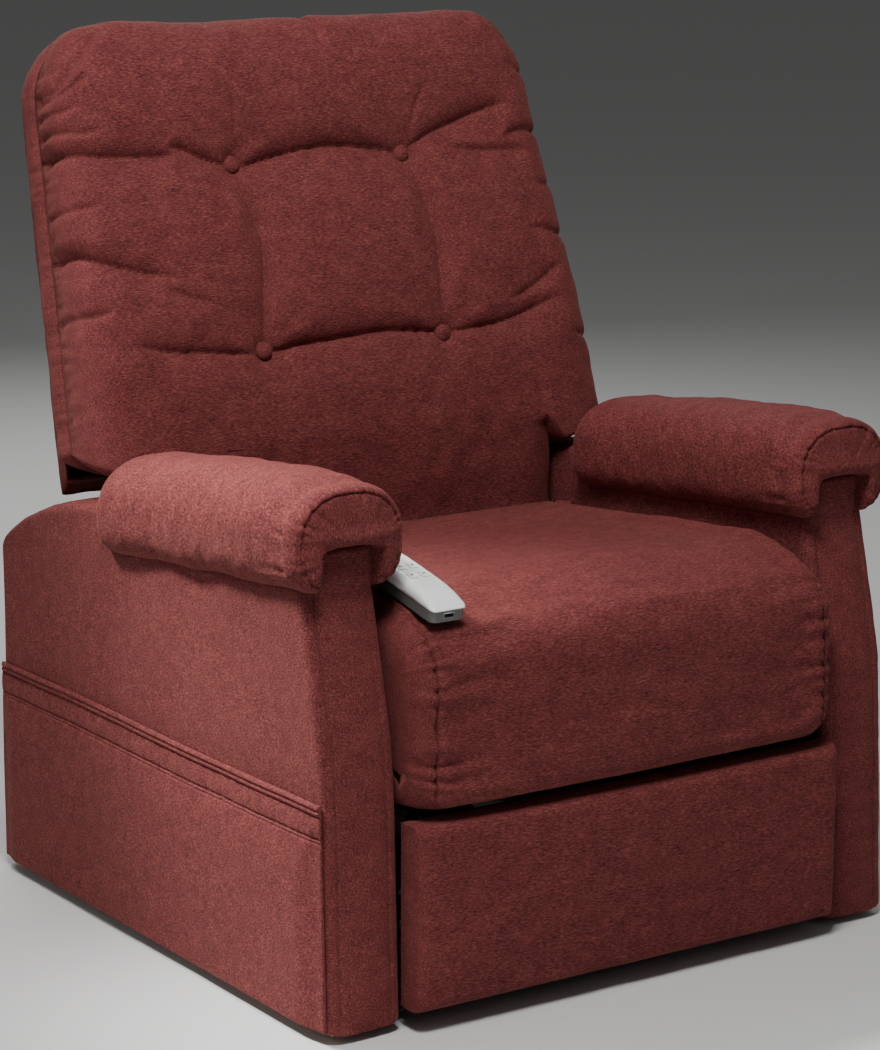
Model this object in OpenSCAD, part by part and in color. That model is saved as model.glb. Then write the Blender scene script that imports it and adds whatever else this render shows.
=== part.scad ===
// Lift recliner chair. Millimetres, +Z up, the seat faces -Y, the sitter's left is +X.
// Side mechanisms are drawn once on +X and mirrored.

/* [Overall] */
// Outer face of each arm, from the centre plane
arm_outer = 400; // [398:1:402]
// Inner face of each arm, from the centre plane
arm_inner = 305; // [305:0.5:306]
// Outer side of each arm pad, from the centre plane
pad_outer = 422; // [418:1:424]
// Inner side of each arm pad, from the centre plane
pad_inner = 275; // [275:1:278]
// Height of the lower edge of the arms
arm_bottom = 11; // [10:1:14]

/* [Seat] */
// Half width of the seat cushion
seat_half = 298; // [290:1:300]
// Highest level of the seat cushion
seat_top = 480; // [476:1:481]
// Front of the seat cushion
seat_front = -445; // [-447:1:-440]
// Radius along the upper side edges of the seat cushion
seat_edge_r = 45; // [30:1:60]

/* [Back] */
// Lean of the back from upright
back_lean = 18; // [18:0.1:18.1]
// Half width of the back just above the arms
back_half_low = 385; // [370:1:390]
// Half width of the back near its top
back_half_top = 348; // [335:1:360]
// Height of the back along its own slope
back_length = 802; // [780:1:805]
// Radius of the two upper corners of the back
back_corner_r = 85; // [60:1:100]
// Radius of a covered button
button_r = 12; // [10:0.5:13]

/* [Footrest] */
// Half width of the footrest pad
foot_half = 300; // [290:1:301]
// Lower edge of the footrest pad
foot_low = 25; // [20:1:40]
// Upper edge of the footrest pad
foot_high = 230; // [222:1:230]

/* [Handset] */
// Length of the handset
handset_length = 148; // [146:1:152]
// Width of the handset
handset_width = 46; // [44:1:46]
// Key travel window wall clearance
key_gap = 0.4; // [0.35:0.05:0.5]

/* [Steel parts] */
// Square size of the floor rails
rail_size = 25; // [24:0.5:25]
// Wall of the floor rails
rail_wall = 2; // [1.5:0.5:3]
// Radius of the glide feet
glide_r = 12; // [10:0.5:12.5]
// Radial clearance of every running pin
run_gap = 0.05; // [0.03:0.01:0.08]
// Radius of the main pivot pins
pin_r = 6; // [5.5:0.1:6]
// Radius of the footrest link studs
stud_r = 4; // [3.8:0.1:4]

/* [Hidden] */
$fn = 64;

fabric = [0.42, 0.13, 0.11];
black = [0.09, 0.09, 0.10];
steel = [0.62, 0.63, 0.65];
wood = [0.72, 0.55, 0.36];
white = [0.93, 0.93, 0.92];
grey = [0.30, 0.29, 0.28];

// Pivots as [y, z] pairs
A = [-235, 70];
B = [95, 100];
C = [185, 100];
D = [-200.2, 69.1];
P = [300, 55];
lift_length = 494.79;
lift_angle = 172.03;
crank_r = 70;
crank_angle = 50;
H = [165, 295];
lever_r = 112;
lever_start = 17;
K = [H[0] + lever_r * sin(lever_start), H[1] - lever_r * cos(lever_start)];
Q = [-215, 200];
recline_length = 412.92;
recline_angle = -1.68;
T0 = [-262.04, 211.98];
link_length = 165.56;
link_angle = 81.994;
B1 = [T0[0] - link_length * cos(link_angle), T0[1] - link_length * sin(link_angle)];
B0 = [T0[0], B1[1]];
T1 = [B1[0], T0[1]];
M1 = (T0 + B1) / 2;
B0_top = T0[1] - link_length * sin(link_angle - 63.944);
Gb = [-370.41, 185.58];
slot_low = [-388.26, 188.11];
slot_high = [-369.37, 223.33];
foot_crank_r = 61.85;
foot_crank_angle = -58.03;
J = [T0[0] + foot_crank_r * cos(foot_crank_angle), T0[1] + foot_crank_r * sin(foot_crank_angle)];
front_tube = [-228, 222];
rear_tube = [95, 226];
cross_tube_r = 12;
bolt_points = [[-150, 190], [40, 190]];
bolt_r = 5;

// Side layers as distances from the centre plane
guide_x = [262, 266];
inner_x = [268, 272];
outer_x = [274, 278];
lower_x = [281, 286];
plate_x0 = 288;
plate_x1 = 293;
upper_x = [295, 300];
glide_h = 12;
link_w = 8;
bar_tuck = 0.04;

// Back plane: origin of its own frame
back_y = 75;
back_z = 300;
back_step = 262;
back_low_half = 280;
back_front = -45;
back_rear = 76;
post_rear = 130;
panel_t = 8;
panel_inset = 34;

// Arm shell
wall = 4;
shoulder_inner = 310;
shoulder_outer = 385;
pad_slope = -0.0814;
pad_front_z = 493;
pad_front_y = -378;
pad_rear_y = 60;
pocket_gap = 8;
pocket_t = 4;
pocket_top = 268;

// Handset frame
hs_x = -249;
hs_y = -272;
hs_z = 488.8;
hs_tilt = 12;

function pad_low(y) = pad_front_z + pad_slope * (y - pad_front_y);

module on_right() {
    mirror([1, 0, 0]) children();
}

module both() {
    children();
    on_right() children();
}

// A (y, z) outline made solid from x0 to x1
module slab(x0, x1) {
    translate([x0, 0, 0]) rotate([90, 0, 90]) linear_extrude(x1 - x0) children();
}

module pin(p, x0, x1, r) {
    translate([x0, p[0], p[1]]) rotate([0, 90, 0]) cylinder(r = r, h = x1 - x0);
}

module bar(p, q, w) {
    len = norm(q - p);
    translate(p) circle(r = w);
    translate(q) circle(r = w);
    translate(p) rotate(atan2(q[1] - p[1], q[0] - p[0])) translate([0, bar_tuck - w])
        square([len, 2 * (w - bar_tuck)]);
}

module hole(p, r) {
    translate(p) circle(r = r);
}

// Own frame of a strut: its axis runs along +Z from the pivot p, at an angle in the (y, z) plane
module along(p, angle) {
    translate([0, p[0], p[1]]) rotate([angle - 90, 0, 0]) children();
}

module in_back() {
    translate([0, back_y, back_z]) rotate([-back_lean, 0, 0]) children();
}

module in_handset() {
    translate([hs_x, hs_y, hs_z]) rotate([hs_tilt, 0, 0]) children();
}

module block(x0, x1, y0, y1, z0, z1) {
    translate([x0, y0, z0]) cube([x1 - x0, y1 - y0, z1 - z0]);
}

module rounded_rect(x0, x1, y0, y1, r) {
    translate([x0 + r, y0]) square([x1 - x0 - 2 * r, y1 - y0]);
    translate([x0, y0 + r]) square([x1 - x0, y1 - y0 - 2 * r]);
    for (x = [x0 + r, x1 - r]) for (y = [y0 + r, y1 - r]) translate([x, y]) circle(r = r);
}

// ---------------------------------------------------------------- floor frame

module square_rail(x0, y0, length) {
    difference() {
        block(x0, x0 + rail_size, y0, y0 + length, glide_h, glide_h + rail_size);
        block(x0 + rail_wall, x0 + rail_size - rail_wall, y0 - 1, y0 + length + 1,
              glide_h + rail_wall, glide_h + rail_size - rail_wall);
    }
}

module base_bracket() {
    slab(288, 293) difference() {
        union() {
            translate([-262, glide_h + rail_size]) square([98, 32]);
            hole(A, 20);
            hole(D, 20);
        }
        hole(A, pin_r + run_gap);
        hole(D, pin_r + run_gap);
        translate([-300, 0]) square([200, glide_h + rail_size]);
    }
}

module base_frame() color(black) {
    both() {
        square_rail(300 - rail_size, -385, 715);
        base_bracket();
        slab(11, 17) difference() {
            union() {
                hole(P, 14);
                translate([P[0] - 14, glide_h + rail_size]) square([28, P[1] - glide_h - rail_size]);
            }
            hole(P, pin_r + run_gap);
        }
    }
    for (y = [-250, 290]) {
        block(rail_size - 300, 300 - rail_size, y, y + rail_size, glide_h, glide_h + rail_size);
    }
}

module base_feet() color(grey) both() for (y = [-350, 300]) {
    translate([300 - rail_size / 2, y, 0]) cylinder(r = glide_r, h = glide_h);
}

module base_pins() color(steel) {
    both() {
        pin(A, 262, 296, pin_r);
        pin(A, 293, 296, 9);
        pin(D, 286.6, 303.4, pin_r);
        pin(D, 286.6, 288, 9);
        pin(D, 300.6, 303.4, 9);
    }
    pin(P, -20, 20, pin_r);
    pin(P, -20, -17, 9);
    pin(P, 17, 20, 9);
}

module power_supply() color(black) {
    difference() {
        block(-230, -120, 180, 290, glide_h, 52);
        translate([-200, 179, 32]) rotate([-90, 0, 0]) linear_extrude(13) {
            translate([-4.5, 0]) circle(r = 5);
            translate([4.5, 0]) circle(r = 5);
            translate([-4.5, -5]) square([9, 10]);
        }
    }
    for (x = [-204.5, -195.5]) translate([x, 184, 32]) rotate([-90, 0, 0]) cylinder(r = 1.2, h = 8);
}

// ---------------------------------------------------------------- struts

module strut_housing(side, reach) {
    difference() {
        union() {
            rotate([0, 90, 0]) cylinder(r = 11, h = 20, center = true);
            translate([-10, -11, 0]) cube([20, 22, 30]);
            translate([-28, -24, 22]) cube([56, 48, 68]);
            translate([side > 0 ? 28 : -86, -24, 30]) cube([58, 48, 40]);
            translate([side * 60, 0, 70]) cylinder(r = 25, h = reach);
        }
        rotate([0, 90, 0]) cylinder(r = pin_r + run_gap, h = 30, center = true);
    }
}

module strut_tube(z0, z1, bore_from) {
    difference() {
        translate([0, 0, z0]) cylinder(r = 17, h = z1 - z0);
        translate([0, 0, bore_from]) cylinder(r = 10 + run_gap, h = z1 - bore_from + 1);
    }
}

module strut_rod(z0, z1, eye_r, hole_r, shift) {
    difference() {
        union() {
            translate([0, 0, z0]) cylinder(r = 10, h = z1 - z0 - hole_r - 2);
            translate([0, shift[0], z1 + shift[1]]) rotate([0, 90, 0])
                cylinder(r = eye_r, h = 18, center = true);
        }
        translate([0, shift[0], z1 + shift[1]]) rotate([0, 90, 0])
            cylinder(r = hole_r, h = 30, center = true);
    }
}

module lift_motor() color(black) along(P, lift_angle) strut_housing(1, 105);

module lift_outer_tube() color(steel) along(P, lift_angle) strut_tube(90, 400, 260);

module lift_rod() color(steel) along(P, lift_angle) strut_rod(280, lift_length, 17, 12, [4.75, 0]);

module recline_motor() color(black) along(Q, recline_angle) strut_housing(-1, 100);

module recline_outer_tube() color(steel) along(Q, recline_angle) strut_tube(90, 300, 120);

module recline_rod() color(steel) along(Q, recline_angle)
    strut_rod(200, recline_length, 19, 13.1, [2.4, 0]);

// ---------------------------------------------------------------- lift arms

module lift_torque_tube() color(black) {
    difference() {
        pin(A, -281, 281, 14);
        pin(A, -282, 282, 9);
    }
    both() {
        slab(11, 17) difference() {
            bar(A, A + crank_r * [cos(crank_angle), sin(crank_angle)], 12);
            hole(A, 13);
        }
    }
    pin(A + crank_r * [cos(crank_angle), sin(crank_angle)], -17, 17, pin_r);
}

module lower_link() {
    slab(lower_x[0], lower_x[1]) difference() {
        bar(A, B, 14);
        hole(A, pin_r + run_gap);
        hole(B, pin_r + run_gap);
    }
}

module lower_link_left() color(black) lower_link();

module lower_link_right() color(black) on_right() lower_link();

module upper_link() {
    slab(upper_x[0], upper_x[1]) difference() {
        bar(D, C, 13);
        hole(D, pin_r + run_gap);
        hole(C, pin_r + 0.9);
    }
}

module upper_link_left() color(black) upper_link();

module upper_link_right() color(black) on_right() upper_link();

// ---------------------------------------------------------------- chassis

module chassis_plate() {
    slab(plate_x0, plate_x1) difference() {
        union() {
            polygon([[-330, 150], [-312, 130], [60, 130], [77, 100], [203, 100], [203, 200],
                     [190, 240], [185, 295], [145, 295], [138, 262], [70, 262], [70, 270],
                     [-318, 270], [-330, 255]]);
            hole(B, 18);
            hole(C, 18);
            hole(H, 20);
        }
        for (p = [T0, B, C, H]) hole(p, pin_r + run_gap);
        for (p = bolt_points) hole(p, bolt_r + run_gap);
    }
}

module chassis_plate_left() color(black) chassis_plate();

module chassis_plate_right() color(black) on_right() chassis_plate();

module cross_tubes() color(black) {
    for (p = [front_tube, rear_tube]) pin(p, -plate_x0, plate_x0, cross_tube_r);
    both() slab(11, 16) difference() {
        union() {
            bar(front_tube, Q, 11);
        }
        hole(Q, pin_r + run_gap);
    }
}

module footrest_guides() color(black) both() slab(guide_x[0], guide_x[1]) difference() {
    union() {
        translate([T0[0] - 15, 40]) square([26, T0[1] - 40]);
        hole(T0, 15);
        bar(T0, front_tube, 15);
    }
    hole(T0, 10 + run_gap);
    hole(front_tube, cross_tube_r);
    bar(B0, [B0[0], B0_top], stud_r + 0.1);
}

module chassis_pins() color(steel) {
    both() {
        pin(T0, 268, 294.4, pin_r);
        pin(B, 278, 294.4, pin_r);
        pin(B, 278, 280.4, 9);
        pin(H, 281.2, 294.4, pin_r);
        for (p = [T0, B, H]) pin(p, plate_x1, 294.4, 9);
        pin(C, 285, 303.4, pin_r);
        pin(C, 285, 288, 9);
        pin(C, 300.6, 303.4, 10);
    }
    pin(Q, -19, 19, pin_r);
    pin(Q, -19, -16, 9);
    pin(Q, 16, 19, 9);
}

// ---------------------------------------------------------------- seat

module seat_frame() color(wood) {
    difference() {
        block(-plate_x0, plate_x0, -325, 66, 240, 299.5);
        block(-262, 262, -300, 41, 239, 301);
    }
    for (x = [-262, 242]) block(x, x + 20, -300, -275, 245, 285);
    for (x = [-262, 242]) block(x, x + 20, 16, 41, 245, 285);
}

module seat_springs() color(steel) for (i = [-2 : 2]) {
    translate([i * 96, 0, 288]) linear_extrude(4) {
        bar([0, -298.2], [0, -285], 2);
        for (k = [0 : 9]) {
            bar([k % 2 == 0 ? -22 : 22, -285 + k * 32], [k % 2 == 0 ? 22 : -22, -253 + k * 32], 2);
        }
        bar([-22, -285], [0, -285], 2);
        bar([-22, 35], [0, 35], 2);
        bar([0, 35], [0, 39], 2);
    }
}

module seat_profile() {
    polygon([[seat_front + 29, 245], [seat_front + 17, 249], [seat_front + 8, 258],
             [seat_front + 2, 272], [seat_front, 290], [seat_front + 1, 400],
             [seat_front + 12, 432], [seat_front + 35, 452], [-330, seat_top - 4],
             [-300, seat_top - 2], [-250, seat_top - 7], [-100, 460], [52, 447],
             [112, 438], [66, 300], [-334, 300], [-334, 256], [-350, 245]]);
}

module seat_cushion() color(fabric) intersection() {
    slab(-seat_half, seat_half) seat_profile();
    translate([0, 200, 0]) rotate([90, 0, 0]) linear_extrude(700)
        rounded_rect(-seat_half, seat_half, 200, 486, seat_edge_r);
}

// ---------------------------------------------------------------- arms

function arm_low(i) = [[-412 + i, arm_bottom + (i > 0 ? -5 : 0)], [-403 + i, 245], [-397 + i, 322],
                       [-378 + i, 406], [-357 + i, pad_low(-357) - i],
                       [56, pad_low(56) - i], [60 + i / 2, 512 - i], [178, 502 - i],
                       [258, 478 - i], [325 - i / 2, 448 - i], [348 - i, 428 - i / 2], [355 - i, 405],
                       [355 - i, arm_bottom + (i > 0 ? -5 : 0)]];

function arm_high(i) = [[-357 + i, 440], [-354 + i, 486], [-348 + i, 548 - i], [-336 + i, 556 - i],
                        [62, 512 - i], [62, 440]];

module arm_body(i) {
    slab(arm_inner + i, arm_outer - i) polygon(arm_low(i));
    slab(shoulder_inner + i, shoulder_outer - i) polygon(arm_high(i));
}

module arm_cover() {
    difference() {
        arm_body(0);
        arm_body(wall);
        for (p = bolt_points) pin(p, arm_inner - 1, arm_inner + wall + 1, bolt_r + run_gap);
    }
}

module arm_cover_left() color(fabric) arm_cover();

module arm_cover_right() color(fabric) on_right() arm_cover();

module arm_board(i) {
    polygon([[-407 + i, arm_bottom + i], [-398 + i, 245], [-392 + i, 322], [-373 + i, 406],
             [-350 + i, 470 - i / 2], [48, 446 - i], [68 + i / 2, 450 - i], [70 + i, 500 - i],
             [176, 494 - i],
             [320 - i / 2, 438 - i], [349 - i, 398], [349 - i, arm_bottom + i]]);
}

module arm_frame() {
    difference() {
        slab(318, 336) arm_board(0);
        slab(317, 337) {
            translate([-340, 60]) square([190, 90]);
            translate([-340, 230]) square([190, 180]);
            translate([-100, 60]) square([110, 90]);
            translate([-100, 230]) square([110, 180]);
            translate([90, 60]) square([210, 320]);
        }
        for (p = bolt_points) pin(p, 317, 337, bolt_r + run_gap);
    }
    slab(336, 394) difference() {
        arm_board(0);
        arm_board(20);
    }
    slab(316, 378) difference() {
        polygon([[-343, 476], [-341, 540], [-330, 549], [58, 505], [58, 476]]);
        polygon([[-322, 484], [-322, 528], [40, 488]]);
    }
    for (p = bolt_points) slab(arm_inner + wall, 318) difference() {
        translate(p - [20, 20]) square(40);
        hole(p, bolt_r + run_gap);
    }
}

module arm_frame_left() color(wood) arm_frame();

module arm_frame_right() color(wood) on_right() arm_frame();

module pad_side_profile() {
    low = 5;
    polygon([[-376, pad_low(-376) + low], [-378, 500], [-378, 560], [-372, 590], [-352, 611],
             [-320, 617], [-141, 604], [0, 584], [30, 578], [48, 566], [58, 546], [pad_rear_y, 520],
             [58, pad_low(58) + low], [40, pad_low(40)], [-366, pad_low(-366)]]);
}

module arm_pad() {
    difference() {
        intersection() {
            slab(pad_inner, pad_outer) pad_side_profile();
            translate([0, 100, 0]) rotate([90, 0, 0]) linear_extrude(520) {
                rounded_rect(pad_inner, pad_outer, 430, 618, 52);
            }
        }
        arm_body(0);
    }
}

module arm_pad_left() color(fabric) arm_pad();

module arm_pad_right() color(fabric) on_right() arm_pad();

module pocket_outline(i) {
    polygon([[-406 + i, arm_bottom + 3 + i], [-397 + i, 245], [-395.5 + i, pocket_top + i * 2],
             [350 - i, pocket_top + i * 2], [350 - i, arm_bottom + 3 + i]]);
}

module side_pocket() color(fabric) on_right() {
    slab(arm_outer + pocket_gap, arm_outer + pocket_gap + pocket_t) pocket_outline(0);
    slab(arm_outer, arm_outer + pocket_gap) difference() {
        pocket_outline(0);
        pocket_outline(5);
    }
}

module arm_bolts() color(steel) both() for (p = bolt_points) {
    pin(p, 284, 342, bolt_r);
    pin(p, 284, plate_x0, 9);
    pin(p, plate_x1, arm_inner, 9);
    pin(p, 336, 342, 9);
}

module rear_panel() color(fabric) block(-arm_inner, arm_inner, 341, 349, 24, 350);

// ---------------------------------------------------------------- back

module back_outline(i, w0, top) {
    x_top = back_half_top - i;
    x_low = back_half_low - i;
    r = back_corner_r - i;
    translate([-x_top + r, w0]) square([2 * x_top - 2 * r, top - i - w0]);
    polygon([[-x_low, w0], [x_low, w0], [x_top, top - i - r], [-x_top, top - i - r]]);
    for (s = [-1, 1]) translate([s * (x_top - r), top - i - r]) circle(r = r);
}

module upright(v0, v1) {
    translate([0, v1, 0]) rotate([90, 0, 0]) linear_extrude(v1 - v0) children();
}

button_upper = [127, 611];
button_lower = [134, 373];

module button_bores(r, v0, v_upper, v_lower) {
    for (s = [-1, 1]) {
        upright(v0, v_upper) translate([s * button_upper[0], button_upper[1]]) circle(r = r);
        upright(v0, v_lower) translate([s * button_lower[0], button_lower[1]]) circle(r = r);
    }
}

module back_cushion() color(fabric) in_back() difference() {
    union() {
        intersection() {
            upright(back_front, back_rear) back_outline(0, back_step, back_length);
            slab(-back_half_low, back_half_low) {
                rounded_rect(back_front, back_rear + 60, back_step, back_length, 48);
            }
        }
        slab(-back_low_half, back_low_half) difference() {
            rounded_rect(0, back_rear - 1, 62, back_step + 60, 20);
            translate([-10, back_step]) square([200, 100]);
        }
    }
    button_bores(button_r + 3, back_front - 1, -14, -26);
}

module back_buttons() color(fabric) in_back() {
    for (s = [-1, 1]) {
        upright(-30, -22) translate([s * button_upper[0], button_upper[1]]) circle(r = button_r);
        upright(-22, -14) translate([s * button_upper[0], button_upper[1]]) circle(r = 4);
        upright(-43, -35) translate([s * button_lower[0], button_lower[1]]) circle(r = button_r);
        upright(-35, -26) translate([s * button_lower[0], button_lower[1]]) circle(r = 4);
    }
}

module back_frame() color(wood) in_back() {
    both() upright(back_rear, post_rear) translate([252, -8]) square([29, 768]);
    both() upright(100, post_rear) polygon([[281, 270], [338, 270], [306, 700], [281, 700]]);
    for (w = [[0, 40], [262, 302], [480, 510], [715, 760]]) {
        upright(100, post_rear) translate([-252, w[0]]) square([504, w[1] - w[0]]);
    }
}

module back_springs() color(steel) in_back() for (w = [90 : 60 : 700]) {
    if (w < 250 || w > 310) if (w < 475 || w > 515)
        translate([-252, 92, w]) rotate([0, 90, 0]) cylinder(r = 2, h = 504);
}

module back_panel() color(fabric) in_back() {
    upright(post_rear, post_rear + panel_t) back_outline(panel_inset, 257, back_length);
    upright(post_rear, post_rear + panel_t) translate([-back_low_half, -5])
        square([2 * back_low_half, 262]);
    difference() {
        upright(back_rear, post_rear) back_outline(panel_inset, 262, back_length);
        upright(back_rear - 1, post_rear + 1) back_outline(panel_inset + wall, 255, back_length);
    }
}

module back_levers() color(black) both() slab(lower_x[0], lower_x[1]) difference() {
    union() {
        bar(H, K, 15);
        bar(H, [H[0] + 38, H[1] + 116], 15);
    }
    hole(H, pin_r + run_gap);
    hole(K, 10);
}

module lever_bar() color(black) pin(K, -lower_x[1], lower_x[1], 10);

module drive_rod() {
    eye = J - [0.2, 0];
    slab(119, 125) difference() {
        union() {
            bar(K, eye, 7);
            hole(K, 17);
            hole(eye, 13);
        }
        hole(K, 10 + run_gap);
        hole(eye, 8.3);
    }
}

module drive_rod_left() color(black) drive_rod();

module drive_rod_right() color(black) on_right() drive_rod();

// ---------------------------------------------------------------- footrest

module foot_drive_tube() color(black) {
    difference() {
        pin(T0, -outer_x[0], outer_x[0], 10);
        pin(T0, -outer_x[0] - 1, outer_x[0] + 1, 7);
    }
    both() {
        slab(outer_x[0], outer_x[1]) difference() {
            bar(T0, B1, link_w);
            hole(T0, pin_r + run_gap);
        }
        pin(M1, 267.6, outer_x[0], stud_r);
        pin(B1, 267.6, outer_x[0], stud_r);
        slab(112, 118) difference() {
            union() {
                hole(T0, 12);
                bar(T0, J, 9);
            }
            hole(T0, 9);
        }
        pin(J, 118, 127, 5);
    }
}

module foot_inner_link() {
    slab(inner_x[0], inner_x[1]) difference() {
        bar(B0, T1, link_w);
        hole(M1, stud_r + run_gap);
    }
    pin(B0, 259.5, inner_x[0], stud_r);
    pin(T1, inner_x[1], 279.5, stud_r);
}

module foot_inner_link_left() color(black) foot_inner_link();

module foot_inner_link_right() color(black) on_right() foot_inner_link();

module foot_lower_link() {
    slab(inner_x[0], inner_x[1]) difference() {
        bar(B1, Gb, link_w);
        hole(B1, stud_r + run_gap);
    }
    pin(Gb, 260.5, inner_x[0], stud_r);
}

module foot_lower_link_left() color(black) foot_lower_link();

module foot_lower_link_right() color(black) on_right() foot_lower_link();

module foot_upper_link() {
    slab(outer_x[0], outer_x[1]) difference() {
        bar(T1, [-387.99, 187.96], link_w);
        hole(T1, stud_r + run_gap);
    }
    pin([-387.99, 187.96], 260.5, outer_x[0], stud_r);
}

module foot_upper_link_left() color(black) foot_upper_link();

module foot_upper_link_right() color(black) on_right() foot_upper_link();

module footrest_board() color(wood) block(-292, 292, -411, -399, 34, 218);

module footrest_brackets() color(black) both() {
    slab(guide_x[0], guide_x[1]) difference() {
        union() {
            translate([-399, 120]) square([24, 90]);
            bar(slot_low, slot_high, 10);
            bar([-385, 180], Gb, 10);
        }
        bar(slot_low, slot_high, stud_r + 0.9);
        hole(Gb, stud_r + run_gap);
        translate([-420, 100]) square([21, 140]);
    }
    block(236, guide_x[0], -399, -396, 120, 210);
}

module footrest_pad() color(fabric) slab(-foot_half, foot_half)
    rounded_rect(-440, -411, foot_low, foot_high, 8);

// ---------------------------------------------------------------- handset

hs_half = handset_width / 2;
key_pos = [[-8, -58], [8, -58], [-8, -82], [8, -82]];
key_w = 9;
key_l = 13;
shell_top = 27;
seam = 13;

module handset_body(i, z0, z1) {
    intersection() {
        translate([0, 0, z0]) linear_extrude(z1 - z0)
            rounded_rect(i - hs_half, hs_half - i, i - handset_length, -i, 9 - i);
        slab(-hs_half, hs_half) polygon([[-handset_length, -1], [-handset_length, shell_top - 9 - i],
            [-handset_length + 18, shell_top - 2 - i], [-110, shell_top - i], [-30, shell_top - i],
            [0, shell_top - 5 - i], [0, -1]]);
    }
}

module key_windows(gap) {
    for (k = key_pos) {
        translate([k[0] - key_w / 2 - gap, k[1] - key_l / 2 - gap, seam + 2])
            cube([key_w + 2 * gap, key_l + 2 * gap, 30]);
    }
}

module handset_shell() color(white) in_handset() difference() {
    handset_body(0, seam, shell_top + 1);
    handset_body(2, seam - 1, shell_top + 1);
    key_windows(key_gap);
}

module handset_base() color(grey) in_handset() difference() {
    handset_body(0.6, 0, seam);
    handset_body(2.6, 2, seam + 1);
    translate([-7, -handset_length - 1, 4]) cube([14, 6, 6.6]);
}

module handset_socket() color(steel) in_handset() {
    difference() {
        translate([-7, -handset_length + 1, 4]) cube([14, 14, 6.6]);
        translate([-6.4, -handset_length, 4.6]) cube([12.8, 13, 5.4]);
    }
    translate([-5.5, -handset_length + 3, 8.2]) cube([11, 11.5, 1.8]);
}

module handset_circuit() color([0.1, 0.35, 0.16]) in_handset() {
    translate([-16, -132, seam - 2.4]) cube([32, 120, 1.6]);
    for (x = [-14, 11]) for (y = [-120, -25]) translate([x, y, 2]) cube([3, 3, seam - 4.4]);
    for (k = key_pos) translate([k[0], k[1], seam - 0.8]) cylinder(r = 2.5, h = 2.8);
}

module key(i) {
    k = key_pos[i];
    translate([k[0] - key_w / 2, k[1] - key_l / 2, seam + 3])
        cube([key_w, key_l, shell_top - seam - 2]);
    translate([k[0] - key_w / 2 - 1, k[1] - key_l / 2 - 1, shell_top - 3.8])
        cube([key_w + 2, key_l + 2, 1.5]);
}

module key_back_up() color(white) in_handset() key(0);

module key_back_down() color(white) in_handset() key(1);

module key_lift_up() color(white) in_handset() key(2);

module key_lift_down() color(white) in_handset() key(3);

base_frame();
base_feet();
base_pins();
power_supply();
lift_motor();
lift_outer_tube();
lift_rod();
lift_torque_tube();
lower_link_left();
lower_link_right();
upper_link_left();
upper_link_right();
chassis_plate_left();
chassis_plate_right();
cross_tubes();
footrest_guides();
chassis_pins();
seat_frame();
seat_springs();
seat_cushion();
arm_frame_left();
arm_frame_right();
arm_cover_left();
arm_cover_right();
arm_pad_left();
arm_pad_right();
side_pocket();
arm_bolts();
rear_panel();
back_frame();
back_springs();
back_cushion();
back_buttons();
back_panel();
back_levers();
lever_bar();
drive_rod_left();
drive_rod_right();
recline_motor();
recline_outer_tube();
recline_rod();
foot_drive_tube();
foot_inner_link_left();
foot_inner_link_right();
foot_lower_link_left();
foot_lower_link_right();
foot_upper_link_left();
foot_upper_link_right();
footrest_board();
footrest_brackets();
footrest_pad();
handset_shell();
handset_base();
handset_socket();
handset_circuit();
key_back_up();
key_back_down();
key_lift_up();
key_lift_down();
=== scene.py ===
import math
import bmesh
import bpy
import numpy as np
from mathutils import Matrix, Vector


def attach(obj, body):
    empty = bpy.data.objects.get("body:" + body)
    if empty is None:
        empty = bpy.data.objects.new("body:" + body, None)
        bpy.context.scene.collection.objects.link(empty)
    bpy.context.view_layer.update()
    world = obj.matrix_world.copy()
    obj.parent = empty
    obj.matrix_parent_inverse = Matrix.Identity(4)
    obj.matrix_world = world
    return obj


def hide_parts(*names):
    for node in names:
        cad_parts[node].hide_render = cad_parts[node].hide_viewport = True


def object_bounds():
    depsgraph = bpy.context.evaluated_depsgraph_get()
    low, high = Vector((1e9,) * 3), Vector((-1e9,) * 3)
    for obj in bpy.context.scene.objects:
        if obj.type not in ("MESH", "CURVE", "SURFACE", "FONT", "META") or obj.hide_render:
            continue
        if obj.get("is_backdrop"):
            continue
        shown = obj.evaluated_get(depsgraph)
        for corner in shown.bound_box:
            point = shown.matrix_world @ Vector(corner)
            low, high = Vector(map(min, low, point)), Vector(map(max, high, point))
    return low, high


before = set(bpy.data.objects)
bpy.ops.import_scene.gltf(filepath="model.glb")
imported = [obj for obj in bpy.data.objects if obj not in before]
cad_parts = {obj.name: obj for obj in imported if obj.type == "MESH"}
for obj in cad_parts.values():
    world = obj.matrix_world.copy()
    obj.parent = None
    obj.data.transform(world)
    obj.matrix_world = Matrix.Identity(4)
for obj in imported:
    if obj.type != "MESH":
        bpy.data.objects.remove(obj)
scene = bpy.context.scene
TAU = 2 * math.pi
# The sitter's left is +X. The photo is taken from the sitter's right, -X.
SIDE_NAME = {-1: "right", 1: "left"}


def write_size(key, data={}):
    lo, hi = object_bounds()
    data[key] = [list(lo), list(hi)]


write_size("cad")

# ---------------------------------------------------------------- small maths, in millimetres


def smooth(a, b, x):
    t = np.clip((np.asarray(x, float) - a) / (b - a), 0.0, 1.0)
    return t * t * (3 - 2 * t)


def ridge(x, width):
    """a smooth bump of unit height about x = 0"""
    return np.exp(-((x / width) ** 2))


def arch(x, start, size, least=0.0):
    """half a sine wave over that stretch"""
    return np.sin(math.pi * np.clip((x - start) / size, least, 1))


def level(value):
    """a straight edge for panel()"""
    return lambda other: value + 0 * other


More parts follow.
